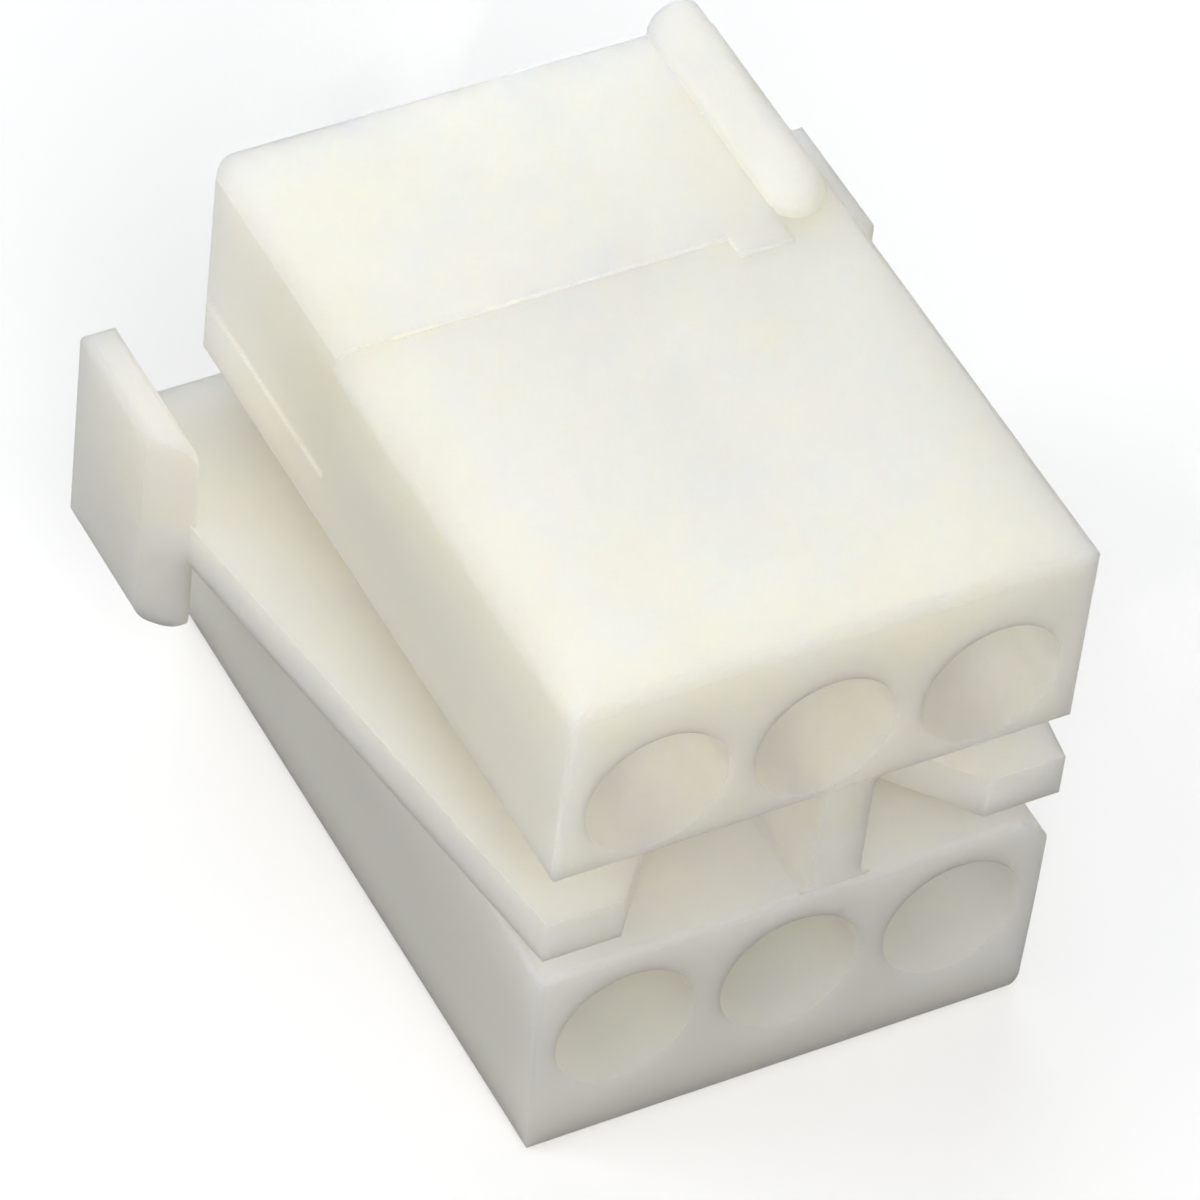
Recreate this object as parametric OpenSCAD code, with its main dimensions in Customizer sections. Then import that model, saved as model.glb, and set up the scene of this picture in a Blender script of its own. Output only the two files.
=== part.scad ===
// Wire to board connector housing for six round crimp contacts.
// Two rows of three through cavities run front to back in two blocks,
// which an off-centre web joins across an open mid-plane slot. Two sprung
// wings stand on the web inside that slot and end in finger pads.
// x is across the columns, y runs from the wire side to the mating side
// and z is up; the origin is the middle of the underside.

/* [Contact cavities] */
// Distance between neighbouring columns
column_pitch = 6.35; // [6.25:0.05:7.5]
// Cavity diameter on the wire side
entry_d = 5.35; // [4.8:0.05:5.6]
// Depth of the wide wire side of a cavity
entry_depth = 16.6; // [12:0.1:18]
// Bore diameter of the collar that holds the contact back
collar_d = 4.05; // [3.4:0.05:4.3]
// Length of the collar
collar_l = 2.5; // [1.5:0.1:3.5]
// Bore diameter on the mating side
mating_d = 4.6; // [4.4:0.05:4.7]
// Width of the lead-in at the mating mouth
lead_in = 0.5; // [0.2:0.05:0.6]

/* [Body] */
// Length from wire side to mating side
body_l = 28; // [26:0.1:34]
// Thinnest wall beside the outer cavities
side_wall = 0.925; // [0.9:0.025:2]
// Wall under the lower cavities
floor_wall = 2.445; // [1.6:0.005:3.5]
// Wall over the lower cavities
lower_cover = 1.105; // [0.8:0.005:2]
// Height of the open mid-plane slot
slot_h = 4.95; // [4.6:0.05:7]
// Wall under the upper cavities
upper_skin = 0.445; // [0.4:0.005:1.5]
// Wall over the upper cavities
roof_wall = 2.355; // [1.6:0.005:3.5]
// How far each side of the lower block leans in at its foot
lower_draft = 0.28; // [0.1:0.02:0.4]
// How far each side of the upper block leans in at its top
upper_draft = 0.06; // [0.02:0.02:0.3]

/* [Edges] */
// Radius of the upper left long edge
top_left_r = 0.8; // [0.4:0.05:1.2]
// Radius of the upper edge over the wire side
top_front_r = 0.45; // [0.3:0.05:1]
// Radius of the left upright edge at the mating side
back_left_r = 1.2; // [0.5:0.05:1.5]
// Radius of the other edges
soft_edge_r = 0.3; // [0.15:0.05:0.4]
// Radius of the lower block's upper right edge
slot_edge_r = 1.6; // [0.5:0.05:1.8]
// Radius of the lower block's bottom right edge
foot_edge_r = 0.8; // [0.4:0.05:1.2]

/* [Web] */
// Thickness of the web between the blocks
web_t = 1.9; // [1.4:0.05:2.6]
// How far the web stands to the right of the middle
web_offset = 1.4; // [0:0.05:1.6]
// How far the web's front edge stands back
web_setback = 0.15; // [0.05:0.05:1]
// Fillet radius where the web meets the blocks
web_fillet_r = 0.4; // [0.2:0.05:0.6]

/* [Wings] */
// Thickness of the wings
wing_t = 1.8; // [1.2:0.05:2]
// Gap under the wings
wing_gap = 1.15; // [0.8:0.05:1.3]
// Width of a wing's front face
wing_front_w = 2.95; // [2.4:0.05:3.2]
// Angle by which a wing spreads outwards
wing_spread = 8.46; // [6:0.02:10]
// Length of a wing
wing_l = 27.6; // [25:0.1:28]
// Distance from body side to a wing's inner edge, carried on to the front
arm_root_in = 2.75; // [2.5:0.05:3]
// Distance from body side to a wing's inner edge at its tip
arm_tip_in = 1.5; // [1.1:0.05:2]
// Thickness of the branch from a wing to the web
branch_t = 2.6; // [1.8:0.05:2.8]
// Angle of the branches to the length
branch_angle = 40; // [36:1:46]
// Fillet radius in the two crotches of a branch
crotch_r = 0.7; // [0.4:0.05:0.9]

/* [Finger pads] */
// Thickness of a finger pad
pad_t = 1.35; // [1:0.05:2]
// Height of a finger pad
pad_h = 9; // [6:0.1:11]
// Length of a finger pad along its inner face
pad_l = 6.9; // [5:0.1:9]
// How far the front face of a pad slants back
pad_slant = 1.5; // [0.5:0.1:2]
// How far a pad's inner face lies inside the edge of its wing
pad_sink = 0.14; // [0.1:0.02:0.3]
// Radius of the pad's front corners
pad_corner_r = 0.9; // [0.4:0.05:1.4]
// Radius of the pad's outer long edges
pad_edge_r = 0.4; // [0.2:0.05:0.6]

/* [Mating zone] */
// Length of the mating zone
mating_l = 10.1; // [8:0.1:12]
// Height of the raised land on the top face
land_h = 0.17; // [0.1:0.01:0.3]
// Distance from the right side to the land
land_right = 2.7; // [2.5:0.05:2.75]
// Width of the jog at the land's front corner
jog_w = 2.1; // [1:0.1:3]
// Length of the jog
jog_l = 0.9; // [0.4:0.1:1.5]
// Radius of the half-round key rib
rib_r = 1.07; // [0.85:0.01:1.1]
// Height of the rib's straight foot
rib_foot = 0.38; // [0.2:0.02:0.8]
// Distance from the right side to the middle of the key rib
rib_in = 1.7; // [1.65:0.01:1.8]
// Fillet radius at the rib's right foot
rib_fillet_r = 0.3; // [0.1:0.02:0.34]
// Depth of the shallow recess on the upper left side
recess_d = 0.12; // [0.05:0.01:0.2]
// Height of the recess over the underside of the upper block
recess_z = 2.25; // [1:0.05:4]

/* [Hidden] */
$fn = 64;
overlap = 0.05;
nylon = [0.90, 0.89, 0.83];

columns = [-1, 0, 1];
body_w = 2 * column_pitch + entry_d + 2 * side_wall;
half_w = body_w / 2;
lower_h = floor_wall + entry_d + lower_cover;
upper_z = lower_h + slot_h;
body_h = upper_z + upper_skin + entry_d + roof_wall;
lower_row_z = floor_wall + entry_d / 2;
upper_row_z = upper_z + upper_skin + entry_d / 2;
front_y = -body_l / 2;
back_y = body_l / 2;
mating_y = back_y - mating_l;
wing_z = lower_h + wing_gap;
cone_l = (entry_d - collar_d) / 2;
collar_end = entry_depth + cone_l + collar_l;
left_reach = half_w + web_offset - web_t / 2;
right_reach = half_w - web_offset - web_t / 2;
arm_lean = atan((arm_root_in - arm_tip_in) / wing_l);
branch_rise = branch_t / sin(branch_angle);
pad_y = body_l - pad_l;
wing_out = pad_y * tan(wing_spread);
pad_in = wing_out - pad_sink;
pad_out = pad_in + pad_t;
crotch_y = (arm_root_in - wing_front_w + branch_t / cos(branch_angle))
         / (tan(branch_angle) + tan(arm_lean));
crotch_x = arm_root_in - crotch_y * tan(arm_lean);

function ray(a) = [cos(a), sin(a)];

// Distance from the middle to the centre of a radius on the narrow edge.
function far_c(w, draft, lean, r) = w / 2 - draft + r * (sin(lean) - 1) / cos(lean);

// A block's end view: sides that lean in by draft towards v = h, and a
// radius on each of the four corners. The wide edge lies on v = 0.
module block_profile(w, h, draft, far_left_r, far_right_r, near_left_r, near_right_r)
{
  lean = atan(draft / h);
  difference() {
    union() {
      half_profile(w, h, draft, lean, far_right_r);
      mirror([1, 0])
        half_profile(w, h, draft, lean, far_left_r);
    }
    near_corner(w, lean, near_right_r);
    mirror([1, 0])
      near_corner(w, lean, near_left_r);
  }
}

module half_profile(w, h, draft, lean, r)
{
  c = far_c(w, draft, lean, r);
  polygon([
    [-overlap, 0], [w / 2, 0], [c + r * cos(lean), h - r + r * sin(lean)], [c, h],
    [-overlap, h]
  ]);
  translate([c, h - r])
    circle(r);
}

// What a radius takes off the corner at the wide edge.
module near_corner(w, lean, r)
{
  c = w / 2 - r * (1 + sin(lean)) / cos(lean);
  difference() {
    polygon([
      [c, r], [c, -overlap], [w / 2 + overlap, -overlap],
      [w / 2 + overlap, r + r * sin(lean)], [c + r * cos(lean), r + r * sin(lean)]
    ]);
    translate([c, r])
      circle(r);
  }
}

// A rectangle from [0, 0] with a radius of its own on each corner.
module soft_rectangle(w, h, r00, r10, r11, r01)
{
  difference() {
    square([w, h]);
    corner_cut([0, 0], 0, r00);
    corner_cut([w, 0], 90, r10);
    corner_cut([w, h], 180, r11);
    corner_cut([0, h], 270, r01);
  }
}

module corner_cut(at, turn, r)
{
  translate(at)
    rotate(turn)
      difference() {
        translate([-overlap, -overlap])
          square(r + overlap);
        translate([r, r])
          circle(r);
      }
}

// What a fillet adds in the corner at v between edges leaving at a and b.
module crotch(v, a, b, r)
{
  half = (b - a) / 2;
  middle = v + r / sin(half) * ray(a + half);
  reach = r / tan(half);
  difference() {
    polygon([v - overlap * ray(a + half), v + reach * ray(a), middle, v + reach * ray(b)]);
    translate(middle)
      circle(r);
  }
}

module lower_block()
{
  intersection() {
    translate([0, back_y, lower_h])
      rotate([90, 0, 0])
        linear_extrude(body_l)
          mirror([0, 1])
            block_profile(body_w, lower_h, lower_draft,
                          soft_edge_r, foot_edge_r, soft_edge_r, slot_edge_r);
    linear_extrude(lower_h)
      plan_view();
    side_view(0, lower_h, soft_edge_r);
  }
}

module upper_block()
{
  intersection() {
    upper_bar(body_h - upper_z);
    side_view(upper_z, body_h, top_front_r);
  }
}

// The upper block's outline, h high, over the whole length.
module upper_bar(h)
{
  intersection() {
    translate([0, back_y, upper_z])
      rotate([90, 0, 0])
        linear_extrude(body_l)
          block_profile(body_w, h, upper_draft,
                        top_left_r, soft_edge_r, soft_edge_r, soft_edge_r);
    translate([0, 0, upper_z])
      linear_extrude(h)
        plan_view();
  }
}

module plan_view()
{
  translate([-half_w, front_y])
    soft_rectangle(body_w, body_l, soft_edge_r, soft_edge_r, soft_edge_r, back_left_r);
}

module side_view(z0, z1, front_top_r)
{
  translate([-half_w, front_y, z0])
    rotate([90, 0, 90])
      linear_extrude(body_w)
        soft_rectangle(body_l, z1 - z0, soft_edge_r, soft_edge_r, soft_edge_r, front_top_r);
}

module web()
{
  translate([web_offset, back_y - soft_edge_r, lower_h])
    rotate([90, 0, 0])
      linear_extrude(body_l - soft_edge_r - web_setback) {
        translate([-web_t / 2, -overlap])
          square([web_t, slot_h + 2 * overlap]);
        for (s = [0, 1])
          mirror([s, 0]) {
            crotch([web_t / 2, 0], 0, 90, web_fillet_r);
            crotch([web_t / 2, slot_h], 270, 360, web_fillet_r);
          }
      }
}

// One wing and its pad, with its body side on x = 0 and inwards as +x.
module wing(reach)
{
  translate([0, 0, wing_z])
    linear_extrude(wing_t) {
      arm_plan();
      branch_plan(reach);
    }
  finger_pad();
}

module arm_plan()
{
  polygon([
    [0, 0], [wing_front_w, 0], [crotch_x, crotch_y], [arm_tip_in, wing_l],
    [-wing_out, wing_l], [-wing_out, pad_y]
  ]);
}

module branch_plan(reach)
{
  web_front = (reach - wing_front_w) / tan(branch_angle);
  polygon([
    [0, 0], [wing_front_w, 0], [reach, web_front], [reach + overlap, web_front],
    [reach + overlap, web_front + branch_rise], [reach, web_front + branch_rise],
    [crotch_x, crotch_y]
  ]);
  crotch([crotch_x, crotch_y], 90 - branch_angle, 90 + arm_lean, crotch_r);
  crotch([reach, web_front], 270 - branch_angle, 270, crotch_r);
}

module finger_pad()
{
  intersection() {
    translate([0, 0, wing_z + wing_t / 2 - pad_h / 2])
      linear_extrude(pad_h)
        polygon([
          [-pad_in, pad_y], [-pad_in, body_l], [-pad_out, body_l],
          [-pad_out, pad_y + pad_slant]
        ]);
    translate([-pad_out, pad_y, wing_z + wing_t / 2 - pad_h / 2])
      rotate([90, 0, 90])
        linear_extrude(pad_t)
          soft_rectangle(pad_l, pad_h, pad_corner_r, soft_edge_r, soft_edge_r, pad_corner_r);
    translate([-pad_out, body_l, wing_z + wing_t / 2 - pad_h / 2])
      rotate([90, 0, 0])
        linear_extrude(pad_l)
          soft_rectangle(pad_t, pad_h, pad_edge_r, soft_edge_r, soft_edge_r, pad_edge_r);
  }
}

module wings()
{
  translate([-half_w, front_y, 0])
    wing(left_reach);
  translate([half_w, front_y, 0])
    mirror([1, 0, 0])
      wing(right_reach);
}

module land()
{
  intersection() {
    upper_bar(body_h - upper_z + land_h);
    translate([-half_w, 0, body_h - rib_r])
      union() {
        translate([0, mating_y, 0])
          cube([body_w - land_right, mating_l, 2 * rib_r]);
        translate([body_w - land_right - jog_w, mating_y - jog_l, 0])
          cube([jog_w, jog_l + overlap, 2 * rib_r]);
      }
  }
}

// A half-round rib on a straight foot, with a domed front end.
module key_rib()
{
  intersection() {
    translate([half_w - rib_in, mating_y + rib_r, body_h]) {
      rotate([-90, 0, 0])
        linear_extrude(mating_l - rib_r)
          mirror([0, 1])
            rib_profile();
      translate([0, 0, rib_foot])
        sphere(rib_r);
      translate([0, 0, -rib_r])
        cylinder(r = rib_r, h = rib_r + rib_foot);
    }
    translate([0, 0, body_h - rib_r])
      linear_extrude(3 * rib_r)
        plan_view();
  }
}

module rib_profile()
{
  translate([0, rib_foot])
    circle(rib_r);
  translate([-rib_r, -overlap])
    square([2 * rib_r, rib_foot + overlap]);
  crotch([rib_r, 0], 0, 90, rib_fillet_r);
}

module recess()
{
  translate([-half_w - overlap, mating_y, upper_z + recess_z])
    cube([recess_d + upper_draft + overlap, mating_l + overlap, body_h]);
}

// One through cavity along +y from the wire side.
module cavity()
{
  rotate([-90, 0, 0])
    rotate_extrude()
      polygon([
        [0, -overlap], [entry_d / 2, -overlap], [entry_d / 2, entry_depth],
        [collar_d / 2, entry_depth + cone_l], [collar_d / 2, collar_end],
        [mating_d / 2, collar_end], [mating_d / 2, body_l - lead_in],
        [mating_d / 2 + lead_in + overlap, body_l + overlap], [0, body_l + overlap]
      ]);
}

module cavities()
{
  for (z = [lower_row_z, upper_row_z])
    for (c = columns)
      translate([c * column_pitch, front_y, z])
        cavity();
}

module housing()
{
  color(nylon)
    difference() {
      union() {
        lower_block();
        upper_block();
        web();
        wings();
        land();
        key_rib();
      }
      cavities();
      recess();
    }
}

housing();
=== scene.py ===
import math
import bpy
from mathutils import Euler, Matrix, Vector

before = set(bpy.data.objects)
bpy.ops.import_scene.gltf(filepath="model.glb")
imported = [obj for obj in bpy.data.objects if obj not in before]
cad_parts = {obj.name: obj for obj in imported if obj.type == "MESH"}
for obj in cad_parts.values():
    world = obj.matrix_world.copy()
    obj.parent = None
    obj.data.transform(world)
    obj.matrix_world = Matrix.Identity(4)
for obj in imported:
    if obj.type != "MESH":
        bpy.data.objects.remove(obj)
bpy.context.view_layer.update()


# ---- Camera -------------------------------------------------------------
# A long lens about 30 cm away, looking down on the wire side and the left
# side, with the housing tilted a little in the frame.
SENSOR_WIDTH_MM = 36
FOCAL_LENGTH_MM = 250.8
CAMERA_PLACE = (-0.108301, -0.170030, 0.219937)
CAMERA_TURN_DEGREES = (43.588, -4.996, -27.115)
lens_data = bpy.data.cameras.new("long_lens")
lens_data.sensor_width = SENSOR_WIDTH_MM
lens_data.lens = FOCAL_LENGTH_MM
lens_data.clip_start = 0.01
lens_data.clip_end = 20
camera = bpy.data.objects.new("camera", lens_data)
camera.location = CAMERA_PLACE
camera.rotation_euler = Euler([math.radians(turn) for turn in CAMERA_TURN_DEGREES])
bpy.context.scene.collection.objects.link(camera)
bpy.context.scene.camera = camera


# ---- Housing ------------------------------------------------------------
# The one-piece connector housing, injection moulded in natural nylon. Its
# walls pass light; the upper block's creamier outer walls are painted shade
# for that glow, the foot has painted shade near the table, and the mould
# leaves a fine satin surface.
CLEAR_NYLON = (0.965, 0.935, 0.855, 1)
CLOUDY_NYLON = (0.955, 0.92, 0.815, 1)
# Painted shade: a warmer, darker tone for light glowing through the upper block's
# outer walls.
PAINTED_WALL_SHADE_NYLON = (0.945, 0.885, 0.745, 1)
# Painted shade: a darker tone at the foot, near the table.
PAINTED_FOOT_SHADE_NYLON = (0.88, 0.80, 0.66, 1)
LIGHT_THROUGH_NYLON = (0.975, 0.945, 0.875, 1)
LIGHT_DEPTH = 0.004
CLOUDS_PER_METRE = 160
SATIN_GRAINS_PER_METRE = 9000
SATIN_HEIGHT = 0.00002
SIDE_WALL = (0.0066, 0.0100)
BEHIND_THE_WALLS = (0.0140, 0.0060)
WIRE_SIDE_WALL = (-0.0106, -0.0140)
UPPER_BLOCK = (0.0110, 0.0122)
FOOT_EDGE = (0.0022, 0.0)

housing = bpy.data.objects["housing"]
nylon = bpy.data.materials.new("natural_nylon")
nylon.use_nodes = True
nodes, links = nylon.node_tree.nodes, nylon.node_tree.links
shader = nodes["Principled BSDF"]
shader.inputs["Roughness"].default_value = 0.45
shader.inputs["IOR"].default_value = 1.53
shader.inputs["Subsurface Weight"].default_value = 1.0
shader.inputs["Subsurface Radius"].default_value = (1.0, 0.9, 0.7)
shader.inputs["Subsurface Scale"].default_value = LIGHT_DEPTH


def smooth_band(value, band_range):
    band = nodes.new("ShaderNodeMapRange")
    band.interpolation_type = "SMOOTHSTEP"
    band.inputs["From Min"].default_value = band_range[0]
    band.inputs["From Max"].default_value = band_range[1]
    links.new(value, band.inputs["Value"])
    return band.outputs["Result"]


def combined(operation, first, second=None):
    step = nodes.new("ShaderNodeMath")
    step.operation = operation
    links.new(first, step.inputs[0])
    if second is not None:
        links.new(second, step.inputs[1])
    return step.outputs["Value"]


def tinted(color, amount, other):
    mix = nodes.new("ShaderNodeMix")
    mix.data_type = "RGBA"
    links.new(amount, mix.inputs["Factor"])
    links.new(color, mix.inputs["A"])
    mix.inputs["B"].default_value = other
    return mix.outputs["Result"]


def fine_noise(per_metre):
    noise = nodes.new("ShaderNodeTexNoise")
    noise.inputs["Scale"].default_value = per_metre
    noise.inputs["Detail"].default_value = 0
    links.new(place.outputs["Object"], noise.inputs["Vector"])
    return noise.outputs["Fac"]


# Faint clouds in the plastic, painted warm shade on the upper block's outer
# walls for light glowing through them, and painted darker shade at the foot near the
# table.
place = nodes.new("ShaderNodeTexCoord")
clouds = nodes.new("ShaderNodeValToRGB")
cloudy, clear = clouds.color_ramp.elements
cloudy.position, cloudy.color = 0.3, CLOUDY_NYLON
clear.position, clear.color = 0.7, CLEAR_NYLON
links.new(fine_noise(CLOUDS_PER_METRE), clouds.inputs["Fac"])
along = nodes.new("ShaderNodeSeparateXYZ")
links.new(place.outputs["Object"], along.inputs["Vector"])
left_right = smooth_band(combined("ABSOLUTE", along.outputs["X"]), SIDE_WALL)
not_back = smooth_band(along.outputs["Y"], BEHIND_THE_WALLS)
front_wall = smooth_band(along.outputs["Y"], WIRE_SIDE_WALL)
side_wall = combined("MULTIPLY", left_right, not_back)
outer_wall = combined("MAXIMUM", side_wall, front_wall)
upper_half = smooth_band(along.outputs["Z"], UPPER_BLOCK)
painted_wall_shade = combined("MULTIPLY", outer_wall, upper_half)
painted_foot_shade = smooth_band(along.outputs["Z"], FOOT_EDGE)
# Painted shade mixed into the base colour: outer walls, then the foot.
with_wall_shade = tinted(clouds.outputs["Color"], painted_wall_shade, PAINTED_WALL_SHADE_NYLON)
with_foot_shade = tinted(with_wall_shade, painted_foot_shade, PAINTED_FOOT_SHADE_NYLON)
links.new(with_foot_shade, shader.inputs["Base Color"])

# The mould's satin surface.
bump = nodes.new("ShaderNodeBump")
bump.inputs["Strength"].default_value = 0.15
bump.inputs["Distance"].default_value = SATIN_HEIGHT
links.new(fine_noise(SATIN_GRAINS_PER_METRE), bump.inputs["Height"])
links.new(bump.outputs["Normal"], shader.inputs["Normal"])

# A fifth of the light passes a wall from outside, and all of it from within.
through = nodes.new("ShaderNodeBsdfTranslucent")
through.inputs["Color"].default_value = LIGHT_THROUGH_NYLON
surface_side = nodes.new("ShaderNodeNewGeometry")
share = nodes.new("ShaderNodeMapRange")
share.inputs["To Min"].default_value = 0.2
share.inputs["To Max"].default_value = 1.0
links.new(surface_side.outputs["Backfacing"], share.inputs["Value"])
blend = nodes.new("ShaderNodeMixShader")
links.new(share.outputs["Result"], blend.inputs["Fac"])
links.new(shader.outputs["BSDF"], blend.inputs[1])
links.new(through.outputs["BSDF"], blend.inputs[2])
links.new(blend.outputs["Shader"], nodes["Material Output"].inputs["Surface"])

for material_slot in housing.material_slots:
    material_slot.material = nylon


# ---- Table --------------------------------------------------------------
# A plain pale table that keeps the housing's soft shadow. It looks almost
# white from above, and sends little light up the housing's walls.
TABLE_WIDTH = 6
TABLE_SEEN = (0.95, 0.95, 0.95, 1)
TABLE_TO_THE_HOUSING = (0.08, 0.075, 0.07, 1)
TABLE_GLOW = 0.28
bpy.ops.object.select_all(action="DESELECT")
bpy.ops.mesh.primitive_plane_add(size=TABLE_WIDTH, location=(0, 0, 0))
table = bpy.context.object
table.name = "table"
paper = bpy.data.materials.new("white_paper")
paper.use_nodes = True
paper_nodes, paper_links = paper.node_tree.nodes, paper.node_tree.links
paper_shader = paper_nodes["Principled BSDF"]
paper_shader.inputs["Roughness"].default_value = 0.9
paper_shader.inputs["Specular IOR Level"].default_value = 0.0
paper_shader.inputs["Emission Color"].default_value = (1, 1, 1, 1)
path = paper_nodes.new("ShaderNodeLightPath")
seen = paper_nodes.new("ShaderNodeMath")
seen.operation = "MAXIMUM"
paper_links.new(path.outputs["Is Camera Ray"], seen.inputs[0])
paper_links.new(path.outputs["Is Glossy Ray"], seen.inputs[1])
seen_through = paper_nodes.new("ShaderNodeMath")
seen_through.operation = "MAXIMUM"
paper_links.new(seen.outputs[0], seen_through.inputs[0])
paper_links.new(path.outputs["Is Transmission Ray"], seen_through.inputs[1])
shade = paper_nodes.new("ShaderNodeMix")
shade.data_type = "RGBA"
shade.inputs["A"].default_value = TABLE_TO_THE_HOUSING
shade.inputs["B"].default_value = TABLE_SEEN
paper_links.new(seen_through.outputs[0], shade.inputs["Factor"])
paper_links.new(shade.outputs["Result"], paper_shader.inputs["Base Color"])
glow = paper_nodes.new("ShaderNodeMath")
glow.operation = "MULTIPLY"
glow.inputs[1].default_value = TABLE_GLOW
paper_links.new(seen_through.outputs[0], glow.inputs[0])
paper_links.new(glow.outputs[0], paper_shader.inputs["Emission Strength"])
table.data.materials.append(paper)


# ---- Light --------------------------------------------------------------
# An evenly lit white room with broad lamps in front, behind and to the
# left. Two narrow lamps, low on the left and behind, light the upper half.
ROOM_LIGHT = 0.31
MIDDLE_OF_THE_HOUSING = (0, 0, 0.01)
NARROW_BEAM_DEGREES = 4


def soft_lamp(name, lamp_place, aim, size, power, color, spread=180):
    data = bpy.data.lights.new(name, "AREA")
    data.shape = "DISK"
    data.size = size
    data.energy = power
    data.color = color
    data.spread = math.radians(spread)
    lamp = bpy.data.objects.new(name, data)
    lamp.location = lamp_place
    facing = Vector(aim) - Vector(lamp_place)
    lamp.rotation_euler = facing.to_track_quat("-Z", "Y").to_euler()
    bpy.context.scene.collection.objects.link(lamp)


soft_lamp("front", (-0.12, -0.42, 0.36), MIDDLE_OF_THE_HOUSING,
          size=0.40, power=1.40, color=(1, 1, 1))
soft_lamp("back", (0.10, 0.35, 0.42), MIDDLE_OF_THE_HOUSING,
          size=0.45, power=0.66, color=(0.90, 0.96, 1))
soft_lamp("left", (-0.38, 0.16, 0.22), MIDDLE_OF_THE_HOUSING,
          size=0.30, power=0.58, color=(0.97, 0.99, 1))
soft_lamp("narrow", (-0.16, -0.16, 0.131), (0.002, 0.002, 0.026),
          size=0.044, power=0.0014, color=(1, 0.98, 0.95), spread=NARROW_BEAM_DEGREES)
soft_lamp("behind", (0.10, 0.21, 0.07), (0, 0, 0.018),
          size=0.030, power=0.0011, color=(0.94, 0.98, 1), spread=NARROW_BEAM_DEGREES)

world = bpy.data.worlds.new("white_room")
world.use_nodes = True
world_nodes, world_links = world.node_tree.nodes, world.node_tree.links
room = world_nodes["Background"]
room.inputs["Color"].default_value = (1, 1, 1, 1)
world_path = world_nodes.new("ShaderNodeLightPath")
bright = world_nodes.new("ShaderNodeMapRange")
bright.inputs["To Min"].default_value = ROOM_LIGHT
bright.inputs["To Max"].default_value = 1.0
world_links.new(world_path.outputs["Is Camera Ray"], bright.inputs["Value"])
world_links.new(bright.outputs["Result"], room.inputs["Strength"])
bpy.context.scene.world = world
bpy.context.scene.view_settings.view_transform = "Standard"
